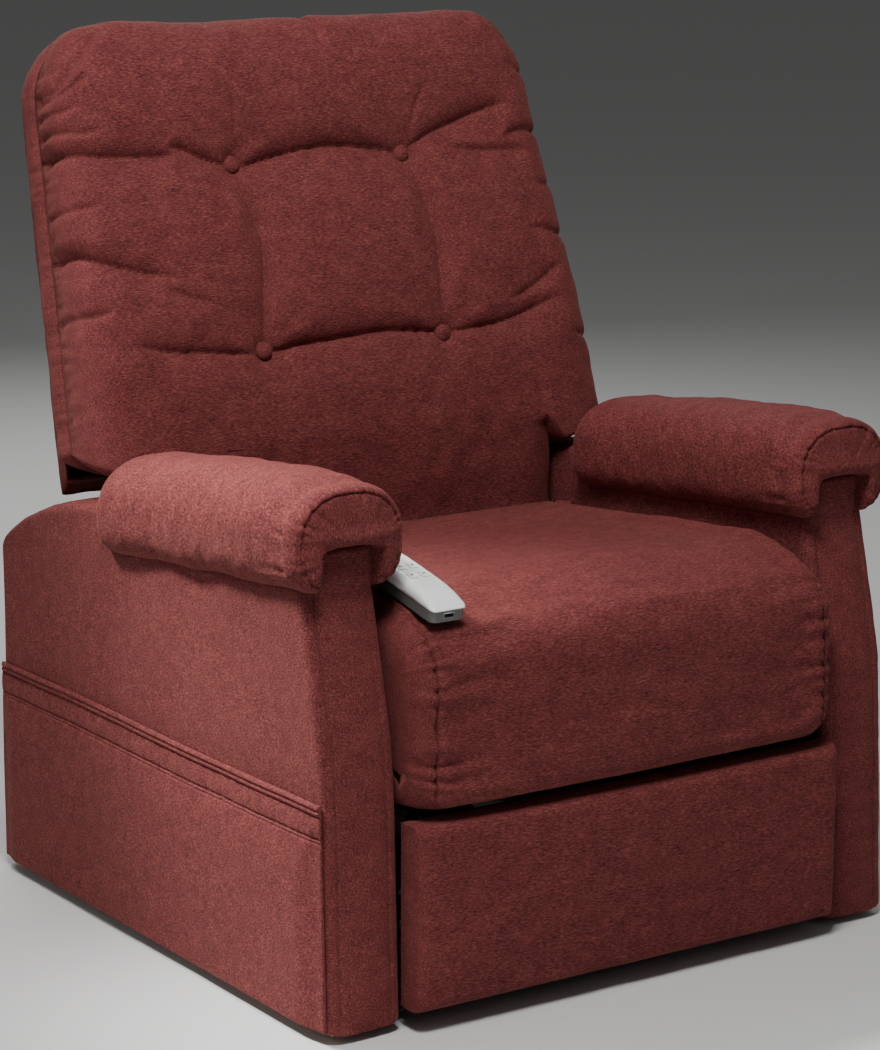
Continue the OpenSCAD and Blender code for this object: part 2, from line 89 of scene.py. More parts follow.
def lumps(p, q, size, seed, n=8):
    """a smooth random field of about unit height, with features of that size"""
    rng = np.random.default_rng(seed)
    out = np.zeros(np.broadcast(p, q).shape)
    for _ in range(n):
        a, f, h = rng.uniform(0, TAU), TAU / size * rng.uniform(0.6, 1.4), rng.uniform(0, TAU)
        out = out + np.sin(f * (p * math.cos(a) + q * math.sin(a)) + h)
    return out / math.sqrt(n)


def gathers(s, dist, lo, hi, seed, gap=13.0, reach=24.0, width=3.4, slant=0.25):
    """short puckers that start on a seam and fade away from it. s runs along the seam, dist away from it"""
    rng = np.random.default_rng(seed)
    out = np.zeros(np.broadcast(s, dist).shape)
    at = lo
    while at < hi:
        amp, r, w = rng.uniform(0.35, 1.0), reach * rng.uniform(0.5, 1.7), width * rng.uniform(0.8, 1.5)
        k = slant * rng.uniform(-1, 1)
        near = np.abs(s - at) < 6 * w + 30
        d = np.where(near, dist, 999.0)
        out += amp * np.exp(-(((s - at - k * d) / (w * (1 + d / 40))) ** 2)) * np.exp(-d / r)
        at += gap * rng.uniform(0.55, 1.5)
    return out


def curve(points):
    p = np.array(points, float)
    for _ in range(3):
        q = np.empty((2 * len(p) - 2, 2))
        q[0::2] = 0.75 * p[:-1] + 0.25 * p[1:]
        q[1::2] = 0.25 * p[:-1] + 0.75 * p[1:]
        p = np.vstack([p[:1], q, p[-1:]])
    return p


def furrow(X, W, points, depth, wide, start=0.12, end=0.25, lean=0.3, bow=1.8):
    """a sewn-in or pulled fold along a curve: two round shoulders that meet in a sharp valley"""
    p = curve(points)
    lo, hi = p.min(0) - 1.8 * wide, p.max(0) + 1.8 * wide
    out = np.zeros(X.shape)
    near = (X > lo[0]) & (X < hi[0]) & (W > lo[1]) & (W < hi[1])
    if not near.any():
        return out
    q = np.stack([X[near], W[near]], 1)
    best = np.full(len(q), 1e9)
    arc, above = np.zeros(len(q)), np.zeros(len(q))
    seg = p[1:] - p[:-1]
    size = np.hypot(seg[:, 0], seg[:, 1])
    run = np.concatenate([[0], np.cumsum(size)])
    for i in range(len(seg)):
        if size[i] < 1e-6:
            continue
        t = np.clip(((q - p[i]) @ seg[i]) / size[i] ** 2, 0, 1)
        foot = p[i] + t[:, None] * seg[i]
        d = np.hypot(*(q - foot).T)
        hit = d < best
        best[hit] = d[hit]
        arc[hit] = (run[i] + t[hit] * size[i]) / run[-1]
        above[hit] = np.sign(q[hit, 1] - foot[hit, 1])
    amp = np.ones(len(q))
    if start:
        amp *= smooth(0, start, arc + 0.02)
    if end:
        amp *= smooth(1.0, 1 - end, arc - 0.02)
    reach = wide * (0.35 + 0.65 * amp) * (1 - lean * above)
    t = np.clip(best / reach, 0, 1)
    out[near] = depth * amp * (1 - (1 - (1 - t) ** bow) ** (1 / bow))
    return out


def soft_max(parts, p=4.5):
    return sum(np.clip(a, 0, None) ** p for a in parts) ** (1 / p)


def arcs(r_lo, r_hi, n_arc, n_flat, n=2.35, extra=()):
    """columns across a panel: (share of the flat part, offset past its end, height), with rounded ends"""
    e = 2 / n
    f = np.linspace(0, math.pi / 2, n_arc + 1)[1:]
    off, high = np.sin(f) ** e, np.cos(f) ** e
    high[-1] = 0
    flat = np.unique(np.concatenate([np.linspace(0, 1, n_flat), np.array(extra, float)]))
    share = np.concatenate([np.zeros(n_arc), flat, np.ones(n_arc)])
    shift = np.concatenate([-off[::-1] * r_lo, np.zeros(len(flat)), off * r_hi])
    height = np.concatenate([high[::-1], np.ones(len(flat)), high])
    turn = np.concatenate([f[::-1], np.zeros(len(flat)), f]) / (math.pi / 2)
    return share, shift, height, turn


def panel(cols, rows, rad_c, rad_r, u_lo, u_hi, v_lo, v_hi):
    """a rectangular net over a curved outline: u across, v up. Each edge is a function of the other one"""
    cs, co, ch, _ = cols
    rs, ro, rh, _ = rows
    U = np.zeros((len(rs), len(cs)))
    V = np.full(U.shape, 300.0)
    for _ in range(6):
        a, b = u_lo(V) + rad_c[0], u_hi(V) - rad_c[1]
        U = a + (b - a) * cs[None, :] + co[None, :]
        a, b = v_lo(U) + rad_r[0], v_hi(U) - rad_r[1]
        V = a + (b - a) * rs[:, None] + ro[:, None]
    return U, V, ch[None, :] * rh[:, None]


def normals(P):
    du = np.gradient(P, axis=1)
    dv = np.gradient(P, axis=0)
    n = np.cross(du, dv)
    return n / np.maximum(np.linalg.norm(n, axis=2, keepdims=True), 1e-9)


def edge_run(P):
    """distance in mm along each row from its nearer end"""
    step = np.linalg.norm(np.diff(P, axis=1), axis=2)
    a = np.concatenate([np.zeros((len(P), 1)), np.cumsum(step, 1)], 1)
    return a, a[:, -1:] - a


def rim(P):
    return np.concatenate([P[0, :-1], P[:-1, -1], P[-1, :0:-1], P[:0:-1, 0]])


# ---------------------------------------------------------------- mesh making


def make(name, verts, faces, body, mat, place=None, flip=False):
    v = np.asarray(verts, float)
    if place is not None:
        v = place(v)
    mesh = bpy.data.meshes.new(name)
    mesh.from_pydata((v * 0.001).tolist(), [], [f[::-1] for f in faces] if flip else faces)
    mesh.validate()
    mesh.update()
    mesh.polygons.foreach_set("use_smooth", [True] * len(mesh.polygons))
    o = bpy.data.objects.new(name, mesh)
    scene.collection.objects.link(o)
    mesh.materials.append(mat)
    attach(o, body)
    return o


def net(nr, nc, at=0, close=False):
    out = []
    for i in range(nr - 1):
        for j in range(nc if close else nc - 1):
            k = (j + 1) % nc
            out.append((at + i * nc + j, at + i * nc + k, at + (i + 1) * nc + k, at + (i + 1) * nc + j))
    return out


def stitch(faces, front, behind):
    """joins two rings of point numbers with quads"""
    n = len(behind)
    for j in range(n):
        k = (j + 1) % n
        faces.append((int(front[k]), int(front[j]), int(behind[j]), int(behind[k])))


def closed_from(P, rings, fan=True):
    """front net, then rings behind it from its rim, then a cap"""
    nr, nc, _ = P.shape
    verts = [P.reshape(-1, 3)]
    faces = net(nr, nc)
    idx = np.arange(nr * nc).reshape(nr, nc)
    last = rim(idx[..., None])[:, 0]
    at = nr * nc
    for ring in rings:
        verts.append(ring)
        new = np.arange(at, at + len(ring))
        stitch(faces, last, new)
        last, at = new, at + len(ring)
    if fan:
        verts.append(rings[-1].mean(0)[None])
        for j in range(len(last)):
            faces.append((int(last[(j + 1) % len(last)]), int(last[j]), at))
    return np.vstack(verts), faces


def backed(verts, faces, inner, n_edge):
    """adds a second net behind the first and joins it to the last ring, of n_edge points"""
    nr, nc, _ = inner.shape
    at = len(verts)
    faces += [f[::-1] for f in net(nr, nc, at)]
    idx = np.arange(nr * nc).reshape(nr, nc)
    stitch(faces, np.arange(at - n_edge, at), rim(idx[..., None])[:, 0] + at)
    return np.vstack([verts, inner.reshape(-1, 3)]), faces


def loft(S, cap="fan"):
    """closed sections (k, n, 3) joined in order, capped at both ends"""
    k, n, _ = S.shape
    verts, faces = [S.reshape(-1, 3)], net(k, n, 0, True)
    if cap == "fan":
        a = k * n
        verts += [S[0].mean(0)[None], S[-1].mean(0)[None]]
        faces += [((j + 1) % n, j, a) for j in range(n)]
        faces += [((k - 1) * n + j, (k - 1) * n + (j + 1) % n, a + 1) for j in range(n)]
    else:
        faces += [tuple(range(n - 1, -1, -1)), tuple(range((k - 1) * n, k * n))]
    return np.vstack(verts), faces


def rim_out(loop):
    """outward directions of a closed flat loop in its first two coordinates, smoothed"""
    t = np.roll(loop, -2, 0) - np.roll(loop, 2, 0)
    n = np.stack([t[:, 1], -t[:, 0]], 1)
    n /= np.maximum(np.linalg.norm(n, axis=1, keepdims=True), 1e-9)
    for _ in range(3):
        n = (n + np.roll(n, 1, 0) + np.roll(n, -1, 0)) / 3
    n /= np.maximum(np.linalg.norm(n, axis=1, keepdims=True), 1e-9)
    return n


C18, S18 = math.cos(math.radians(18)), math.sin(math.radians(18))
C12, S12 = math.cos(math.radians(12)), math.sin(math.radians(12))


def back_place(v):
    return np.stack([v[:, 0], 75 + v[:, 1] * C18 + v[:, 2] * S18, 300 - v[:, 1] * S18 + v[:, 2] * C18], 1)


def hand_place(v):
    return np.stack(
        [v[:, 0] - 249, -272 + v[:, 1] * C12 - v[:, 2] * S12, 488.8 + v[:, 1] * S12 + v[:, 2] * C12], 1
    )


def puff(P, pin, cap, sign=1.0, pressure=4.0, frames=20, stride=3):
    """Cloth simulation of a net under pressure, on every third line of it.
    Returns how far each point of the full net moves. pin is from 0, free, to 1, held."""
    nr, nc, _ = P.shape
    ri = np.array(sorted({*range(0, nr, stride), nr - 1}))
    ci = np.array(sorted({*range(0, nc, stride), nc - 1}))
    Q, held = P[np.ix_(ri, ci)], pin[np.ix_(ri, ci)]
    mesh = bpy.data.meshes.new("sim")
    mesh.from_pydata((Q.reshape(-1, 3) * 0.001).tolist(), [], net(len(ri), len(ci)))
    o = bpy.data.objects.new("sim", mesh)
    scene.collection.objects.link(o)
    group = o.vertex_groups.new(name="pin")
    for k, w in enumerate(held.ravel()):
        group.add([k], float(w), "REPLACE")
    m = o.modifiers.new("cloth", "CLOTH")
    st = m.settings
    st.quality, st.mass = 5, 0.3
    st.tension_stiffness = st.compression_stiffness = 22
    st.shear_stiffness, st.bending_stiffness = 8, 0.6
    st.use_pressure, st.uniform_pressure_force = True, pressure * sign
    st.vertex_group_mass = "pin"
    st.effector_weights.gravity = 0
    m.collision_settings.use_collision = False
    m.point_cache.frame_start, m.point_cache.frame_end = 1, frames
    for f in range(1, frames + 1):
        scene.frame_set(f)
    got = o.evaluated_get(bpy.context.evaluated_depsgraph_get()).data
    new = np.empty(len(got.vertices) * 3, "f")
    got.vertices.foreach_get("co", new)
    D = new.reshape(Q.shape).astype(float) * 1000 - Q
    bpy.data.objects.remove(o)
    bpy.data.meshes.remove(mesh)
    scene.frame_set(1)
    size = np.linalg.norm(D, axis=2, keepdims=True)
    print("SIM", Q.shape, "moved", float(size.mean()), float(size.max()))
    D = np.nan_to_num(D) * (cap * np.tanh(size / cap) / np.maximum(size, 1e-6))
    rows = np.stack([[np.interp(np.arange(nc), ci, D[i, :, k]) for k in range(3)] for i in range(len(ri))])
    out = np.empty_like(P)
    for k in range(3):
        for j in range(nc):
            out[:, j, k] = np.interp(np.arange(nr), ri, rows[:, k, j])
    for _ in range(2):
        out[1:-1] = (out[:-2] + 2 * out[1:-1] + out[2:]) / 4
        out[:, 1:-1] = (out[:, :-2] + 2 * out[:, 1:-1] + out[:, 2:]) / 4
    return out


# ---------------------------------------------------------------- materials


def node_mat(name):
    m = bpy.data.materials.new(name)
    m.use_nodes = True
    t = m.node_tree
    return m, t, t.nodes["Principled BSDF"]


def add(t, kind, **kw):
    n = t.nodes.new(kind)
    for k, v in kw.items():
        if k in n.inputs:
            n.inputs[k].default_value = v
        else:
            setattr(n, k, v)
    return n


def ramp(t, source, stops):
    r = t.nodes.new("ShaderNodeValToRGB")
    e = r.color_ramp.elements
    while len(e) < len(stops):
        e.new(0.5)
    for k, (at, col) in enumerate(stops):
        e[k].position = at
        e[k].color = (*col, 1)
    t.links.new(source, r.inputs[0])
    return r.outputs[0]


def scaled(t, scale):
    c = t.nodes.new("ShaderNodeTexCoord")
    m = add(t, "ShaderNodeMapping")
    m.inputs["Scale"].default_value = scale
    t.links.new(c.outputs["Object"], m.inputs["Vector"])
    return m.outputs["Vector"]


def noise(t, vec, scale=1.0, detail=2.0, rough=0.55):
    n = add(t, "ShaderNodeTexNoise", Scale=scale, Detail=detail, Roughness=rough)
    t.links.new(vec, n.inputs["Vector"])
    return n.outputs["Fac"]


def math_node(t, op, a, b):
    n = t.nodes.new("ShaderNodeMath")
    n.operation = op
    for k, s in enumerate((a, b)):
        if isinstance(s, (int, float)):
            n.inputs[k].default_value = s
        else:
            t.links.new(s, n.inputs[k])
    return n.outputs[0]


def bump(t, p, height, strength, distance):
    b = add(t, "ShaderNodeBump", Strength=strength, Distance=distance)
    t.links.new(height, b.inputs["Height"])
    t.links.new(b.outputs["Normal"], p.inputs["Normal"])


def fabric(name, scale):
    """melange chenille: dark and orange fibres lying along the long axis of the mapping"""
    m, t, p = node_mat(name)
    streak = noise(t, scaled(t, scale), 1.0, 3.0, 0.62)
    fleck = noise(t, scaled(t, (760, 760, 760)), 1.0, 2.0, 0.5)
    heather = noise(t, scaled(t, (38, 60, 60)), 1.0, 2.0, 0.5)
    mix = math_node(t, "ADD", math_node(t, "MULTIPLY", streak, 0.62), math_node(t, "MULTIPLY", fleck, 0.26))
    mix = math_node(t, "ADD", mix, math_node(t, "MULTIPLY", heather, 0.12))
    col = ramp(t, mix, [
        (0.37, (0.052, 0.0137, 0.0150)),
        (0.455, (0.122, 0.0268, 0.0272)),
        (0.535, (0.166, 0.0387, 0.0367)),
        (0.63, (0.262, 0.0735, 0.0600)),
    ])
    t.links.new(col, p.inputs["Base Color"])
    rough = math_node(t, "ADD", math_node(t, "MULTIPLY", fleck, 0.2), 0.78)
    t.links.new(rough, p.inputs["Roughness"])
    p.inputs["Specular IOR Level"].default_value = 0.12
    p.inputs["Sheen Weight"].default_value = 0.1
    p.inputs["Sheen Roughness"].default_value = 0.42
    p.inputs["Sheen Tint"].default_value = (1.0, 0.42, 0.32, 1)
    bump(t, p, mix, 0.75, 0.0016)
    return m


def hard(name, base, rough, metal=0.0, grain=(300, 300, 300), tint=0.12, depth=0.0001, coat=0.0, vary=0.12):
    m, t, p = node_mat(name)
    a = noise(t, scaled(t, grain), 1.0, 4.0, 0.6)
    b = noise(t, scaled(t, (14, 14, 14)), 1.0, 3.0, 0.6)
    both = math_node(t, "ADD", math_node(t, "MULTIPLY", a, 0.6), math_node(t, "MULTIPLY", b, 0.4))
    lo = tuple(c * (1 - tint) for c in base)
    hi = tuple(min(1, c * (1 + tint)) for c in base)
    t.links.new(ramp(t, both, [(0.35, lo), (0.65, hi)]), p.inputs["Base Color"])
    r = math_node(t, "ADD", math_node(t, "MULTIPLY", both, vary), rough - vary / 2)
    t.links.new(r, p.inputs["Roughness"])
    p.inputs["Metallic"].default_value = metal
    p.inputs["Coat Weight"].default_value = coat
    bump(t, p, a, 0.5, depth)
    return m


# the scales lay the fibres along x, along y and upright
cloth = fabric("chenille", (175, 800, 800))
cloth_side = fabric("chenille_side", (520, 270, 600))
cloth_up = fabric("chenille_upright", (700, 250, 350))
# CAD slot: colour, roughness, metal, grain, tint, depth, coat and how much the roughness varies
HARD = {
    "black_steel": ((0.018, 0.018, 0.02), 0.46, 0.0, (900, 900, 900), 0.3, 0.00008),
    "zinc_steel": ((0.56, 0.57, 0.6), 0.38, 1.0, (120, 120, 120), 0.12, 0.00003),
    "ram_steel": ((0.62, 0.63, 0.65), 0.22, 1.0, (60, 900, 900), 0.08, 0.00002),
    "motor_plastic": ((0.022, 0.022, 0.024), 0.5, 0.0, (1500, 1500, 1500), 0.2, 0.0001),
    "glide_plastic": ((0.05, 0.05, 0.055), 0.42, 0.0, (800, 800, 800), 0.15, 0.00005),
    "timber": ((0.46, 0.29, 0.14), 0.68, 0.0, (26, 620, 620), 0.42, 0.0003),
    "handset_white": ((0.93, 0.94, 0.92), 0.2, 0.0, (1200, 1200, 1200), 0.03, 0.00002, 0.5, 0.06),
    "handset_grey": ((0.115, 0.112, 0.105), 0.42, 0.0, (1600, 1600, 1600), 0.12, 0.00006),
    "socket_metal": ((0.5, 0.5, 0.5), 0.3, 1.0, (300, 300, 300), 0.1, 0.00002),
    "circuit_green": ((0.02, 0.12, 0.04), 0.4, 0.0, (700, 200, 700), 0.4, 0.00004),
}
finish = {slot: hard(slot + "_fine", *look) for slot, look in HARD.items()}
for node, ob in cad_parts.items():
    for s in ob.material_slots:
        key = s.material.name.split(".")[0] if s.material else ""
        if key in finish:
            s.material = finish[key]
        elif key == "upholstery":
            s.material = cloth
        else:
            print("SLOT", node, key)

# ---------------------------------------------------------------- back cushion

BACK_TOP = 802
BACK_WIDE_HALF = 385
BACK_TOP_HALF = 348
BACK_CORNER = 85.0
WING_W = 262  # how far up the back's slope its wings begin
NARROW_HALF = 296.0
NARROW_FOOT = 62
SEAM_V = 34.0
# how far the cushion's middle stands out from the plane v = 0, up its slope
crown_w = np.arange(40.0, 830.0, 2.0)
crown_t = np.interp(crown_w, [62, 140, 190, 262, 373, 520, 611, 802], [0, 1, 24, 46, 59, 53, 46, 43])
for _ in range(60):
    crown_t[1:-1] = (crown_t[:-2] + crown_t[1:-1] * 2 + crown_t[2:]) / 4


def back_half(w, inset=0.0, low=NARROW_HALF):
    """half width of the back at w up its slope"""
    r, top = BACK_CORNER - inset, BACK_TOP - inset
    wide = BACK_WIDE_HALF - inset - (w - WING_W) * (BACK_WIDE_HALF - BACK_TOP_HALF) / (BACK_TOP - WING_W)
    c = top - r
    corner = BACK_TOP_HALF - inset - r + np.sqrt(np.clip(r**2 - (w - c) ** 2, 0, None))
    corner = corner + (wide - BACK_TOP_HALF + inset) * smooth(top, c, w)
    wide = np.where(w > c, corner, wide)
    return low + (wide - low) * smooth(236, 284, w)


FOLDS = [
    # points (x, up the back's slope), depth, width, fade at the start and at the end, lean
    ([(-127, 609), (-110, 608), (-87, 614), (-40, 623), (6, 627), (52, 625), (102, 617),
      (127, 611)], 21, 52, 0, 0, 0.35),
    ([(-127, 611), (-149, 612), (-181, 625), (-199, 635), (-226, 637)], 18, 40, 0, 0.3, 0.35),
    ([(-196, 627), (-236, 626), (-265, 629), (-303, 629), (-335, 636), (-372, 640)], 15, 34, 0.25, 0, 0.3),
    ([(-127, 611), (-121, 577), (-113, 551), (-110, 522), (-112, 493), (-117, 465), (-123, 440), (-128, 410),
      (-134, 373)], 16, 46, 0, 0, 0),
    ([(-384, 520), (-333, 499), (-289, 486), (-254, 476), (-228, 466)], 14, 34, 0, 0.35, 0.3),
    ([(-266, 463), (-234, 449), (-206, 439), (-180, 428)], 7, 24, 0.3, 0.4, 0.25),
    ([(-134, 373), (-153, 370), (-190, 374), (-219, 379), (-255, 381), (-283, 386),
      (-328, 398)], 15, 40, 0, 0.4, 0.3),
    ([(-134, 372), (-115, 370), (-90, 375), (-51, 377), (-11, 380), (29, 383), (69, 382), (101, 377),
      (134, 373)], 21, 52, 0, 0, 0.35),
    ([(127, 611), (161, 631), (202, 644), (238, 655), (267, 663), (304, 669)], 17, 44, 0, 0.25, 0.3),
    ([(168, 619), (208, 613), (250, 607), (292, 606), (330, 603)], 10, 26, 0.35, 0.25, 0.3),
    ([(276, 618), (300, 629), (325, 633), (372, 628)], 9, 17, 0.3, 0, 0.2),
    ([(127, 611), (134, 572), (141, 547), (145, 521), (147, 500), (145, 471), (140, 440), (136, 412),
      (134, 373)], 11, 44, 0, 0, 0),
    ([(134, 373), (168, 373), (203, 376), (239, 382), (273, 392), (332, 408)], 16, 42, 0, 0.3, 0.3),
    ([(236, 405), (269, 414), (296, 427), (340, 452)], 9, 26, 0.3, 0.3, 0.2),
    ([(288, 497), (317, 498), (340, 492), (378, 486)], 8, 15, 0.3, 0, 0.2),
    ([(-118, 730), (-120, 672), (-127, 615)], 6, 24, 0.5, 0, 0),
    ([(-172, 704), (-152, 665), (-130, 618)], 5, 20, 0.5, 0, 0),
    ([(178, 708), (155, 677), (130, 618)], 7, 24, 0.5, 0, 0),
    ([(100, 700), (110, 660), (124, 618)], 4, 22, 0.5, 0, 0),
    ([(-250, 800), (-285, 788), (-312, 762), (-352, 716)], 8, 17, 0.3, 0, 0),
    ([(-292, 792), (-318, 775), (-345, 745)], 6, 11, 0.2, 0, 0),
    ([(-306, 742), (-322, 726), (-362, 706)], 7, 13, 0.35, 0, 0),
    ([(-296, 668), (-322, 660), (-366, 668)], 6, 12, 0.4, 0, 0),
    ([(-322, 700), (-340, 692), (-366, 690)], 5, 10, 0.4, 0, 0),
    ([(26, 812), (22, 780), (30, 752)], 7, 15, 0, 0.5, 0),
    ([(296, 800), (310, 778), (340, 742)], 6, 14, 0.2, 0.2, 0),
    ([(300, 730), (325, 715), (368, 706)], 6, 14, 0.35, 0, 0),
    ([(318, 560), (340, 556), (376, 560)], 5, 12, 0.35, 0, 0),
    ([(-318, 572), (-345, 570), (-380, 566)], 5, 12, 0.35, 0, 0),
    ([(-330, 442), (-350, 436), (-386, 438)], 5, 13, 0.35, 0, 0),
    ([(336, 360), (356, 352), (386, 350)], 5, 13, 0.35, 0, 0),
]
# x, height up the slope, depth of the button's face
BUTTONS = [(-127, 611, -22), (127, 611, -22), (-134, 373, -35), (134, 373, -35)]


# the boxing behind the front seam: depth, how far it stands out, how strongly it is gathered
BOXING = [
    (33.2, -2.6, 0), (34.4, -2.8, 0), (36.5, -0.6, 0.9), (40, 1.6, 1), (46, 3.6, 0.8), (53, 4.4, 0.5),
    (60, 3.8, 0.3), (67, 1.6, 0.4), (72, -1.6, 0.5), (75, -6, 0.2), (75.6, -14, 0), (75.6, -60, 0),
]


def back_cushion():
    R, RT = 60.0, 58.0
    cols = arcs(R, R, 26, 262)
    rows = arcs(26.0, RT, 24, 250, 2.35, np.linspace(0.23, 0.285, 44))
    ends = (lambda v: -back_half(v), back_half, level(NARROW_FOOT), level(BACK_TOP))
    U, V, H = panel(cols, rows, (R, R), (26, RT), *ends)
    tc, tr = cols[3][None, :] * np.ones_like(U), rows[3][:, None] * np.ones_like(U)
    front = -np.interp(V, crown_w, crown_t) + 7 * (U / 300.0) ** 2 * smooth(240, 330, V)
    front = front + 1.6 * lumps(U, V, 150, 3)
    depth = SEAM_V - (SEAM_V - front) * H
    up = smooth(262, 320, V)
    swell = arch(tc, 0, 1) ** 1.5 * rows[2][:, None]
    U = U + np.sign(U) * (7.5 * swell - 2.5 * smooth(0.86, 1, tc)) * (0.3 + 0.7 * up)
    top = (V > 500) * arch(tr, 0, 1) ** 1.5 * cols[2][None, :] ** 0.3
    V = V + top * (9.0 + 2.5 * lumps(U, 0 * U, 170, 8)) - 3.5 * top * smooth(30, 22, U) * smooth(-260, 0, U)
    # the wings hang down in front, over the arms
    V = V - 43 * H * smooth(350, WING_W, V) * smooth(120, WING_W, V) * smooth(270, 300, np.abs(U))
    P = np.stack([U, depth, V], 2)
    n = normals(P)
    pulls = [furrow(U, V, *f) for f in FOLDS]
    for x, w, v in BUTTONS:
        r = np.hypot(U - x, V - w)
        pulls.append(24 * np.exp(-r / 24.0) * (r < 150))
    down = soft_max(pulls)
    left, right = edge_run(P)
    for dist, seed in ((left, 11), (right, 12)):
        pinch = gathers(V, dist, 285, 770, seed, 13, 24, 3.6)
        down = down + 4.6 * pinch * (dist < 160)
    down = down + 1.3 * lumps(U, V, 46, 17) * smooth(0.4, 0.0, H) + 0.5 * lumps(U, V, 60, 18)
    down = down * smooth(62, 190, V) * smooth(1.0, 0.985, np.maximum(tc, tr) * (H <= 0))
    P = P - n * down[..., None]
    held = np.clip(soft_max(pulls) / 13.0, 0, 1) ** 2
    held = np.maximum(held, smooth(0.35, 0.1, H))
    P = P + puff(P, np.maximum(held, smooth(300, 262, V)), 12.0) * smooth(0, 0.3, H)[..., None]
    edge = rim(P)
    out = rim_out(edge[:, [0, 2]])
    wob = lumps(edge[:, 2], edge[:, 0], 38, 21) + lumps(edge[:, 2], edge[:, 0], 90, 22) * 1.2
    gat = gathers(edge[:, 2], 0 * edge[:, 0], 285, 790, 11, 13, 24, 3.6)
    rings = []
    low = smooth(240, 300, edge[:, 2])
    for v, o, g in BOXING:
        off = o * (0.35 + 0.65 * low) + (wob * 0.7 - 1.8 * gat * g) * low * (o > -5)
        ring = edge.copy()
        ring[:, 0] += out[:, 0] * off
        ring[:, 2] += out[:, 1] * off
        ring[:, 1] = v
        rings.append(ring)
    verts, faces = closed_from(P, rings)
    o = make("back_cushion_soft", verts, faces, "back", cloth, back_place)
    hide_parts("back_cushion")


# ---------------------------------------------------------------- covered buttons

# radius and depth, from the dome round to the shank
BUTTON = [(3.0, -8.2), (6.0, -7.4), (8.6, -6.0), (10.6, -4.2), (11.8, -2.2), (12.0, -0.6), (11.0, 0.6),
          (8.0, 1.0), (4.0, 1.0), (4.0, 7.0)]


def buttons():
    rng = np.random.default_rng(5)
    verts, faces = [], []
    for x, w, v in BUTTONS:
        ring_n, at = 40, sum(len(a) for a in verts)
        a = np.linspace(0, TAU, ring_n, endpoint=False)
        s = []
        for r, dv in BUTTON:
            rr = r * (1 + 0.012 * np.sin(a * 7 + rng.uniform(0, 6)) * (r > 8))
            s.append(np.stack([x + rr * np.cos(a), v - 4 + dv + 0 * a, w + rr * np.sin(a)], 1))
        vv, ff = loft(np.array(s))
        verts.append(vv)
        faces += [tuple(i + at for i in f) for f in ff]
    o = make("back_buttons_covered", np.vstack(verts), faces, "back", cloth, back_place)
    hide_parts("back_buttons")


# ---------------------------------------------------------------- back's outer shell

# depth and inset of the outer back's sides, from the cushion round to the flat of the back
SHELL = [(77.4, 13), (79.5, 14), (84, 18.5), (90, 24), (97, 28), (105, 30.4), (114, 31.6), (124, 32.2),
         (130, 32.6), (133.4, 33.2), (135.2, 34.6), (136.8, 37.5), (138.0, 42)]


def shell_loop(inset, low, n_side=150, n_top=150):
    """outline of the outer back, inset from the cushion's"""
    top = BACK_TOP - inset
    w = low + (top - low) * np.sin(np.linspace(0, 1, n_side) * math.pi / 2) ** 0.8
    h = back_half(np.maximum(w, WING_W), inset, BACK_WIDE_HALF - inset)
    left = np.stack([-h, w], 1)
    f = np.linspace(-1, 1, n_top)[1:-1]
    mid = np.stack([f * h[-1], np.full(len(f), top)], 1)
    right = np.stack([h[::-1], w[::-1]], 1)
    foot = np.stack([-f * h[0], np.full(len(f), low)], 1)
    return np.vstack([left, mid, right, foot])


def shell_low(v):
    """the shell's lower edge. It passes close over the arms as the back reclines"""
    return np.interp(v, [77, 106, 124, 138], [253, 252.5, 247, 242])


def back_shell():
    rings = []
    for v, inset in SHELL:
        lp = shell_loop(inset, shell_low(v))
        wob = lumps(lp[:, 0], lp[:, 1], 60, 31) * 0.7
        out = rim_out(lp)
        if inset in (32.6, 33.2):
            wob = wob - 1.2  # a shallow ridge along the rear seam
        lp = lp - out * wob[:, None]
        rings.append(np.stack([lp[:, 0], np.full(len(lp), float(v)), lp[:, 1]], 1))
    base = shell_loop(42, shell_low(138))
    c = np.array([0, 520.0])
    for k in np.linspace(1, 0, 46)[1:-1]:
        p = c + (base - c) * k
        sag = 1.6 * (1 - k**6) * arch(p[:, 1], 257, 500) + 0.45 * lumps(p[:, 0], p[:, 1], 120, 32)
        rings.append(np.stack([p[:, 0], 138.0 + sag * smooth(1, 0.9, k) - 0.3, p[:, 1]], 1))
    S = np.array(rings)
    k, n, _ = S.shape
    verts = np.vstack([S.reshape(-1, 3), S[-1].mean(0)[None]])
    faces = net(k, n, 0, True) + [((k - 1) * n + j, (k - 1) * n + (j + 1) % n, k * n) for j in range(n)]
    o = make("back_shell_fabric", verts, faces, "back", cloth, back_place)
    thick(o, 2.4)
    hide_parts("back_panel")


def back_flap():
    """the lower part of the outer back, behind the seat"""
    cols, rows = arcs(5, 5, 8, 120), arcs(5, 5, 8, 60)
    U, V, H = panel(cols, rows, (5, 5), (5, 5), level(-279), level(279), level(-4), level(WING_W))
    D = 133 + 4.2 * H + 0.5 * lumps(U, V, 130, 33) * H - 0.9 * ridge(V - 14, 1.8) * H
    P = np.stack([-U, D, V], 2)
    e = rim(P)
    r1, r2 = e.copy(), e.copy()
    r1[:, 1], r2[:, 1] = 132, 131.2
    r2[:, [0, 2]] = r2[:, [0, 2]] * 0.99 + np.array([0, 129]) * 0.01
    verts, faces = closed_from(P, [r1, r2])
    o = make("back_flap_fabric", verts, faces, "back", cloth, back_place)
    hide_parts("back_panel")


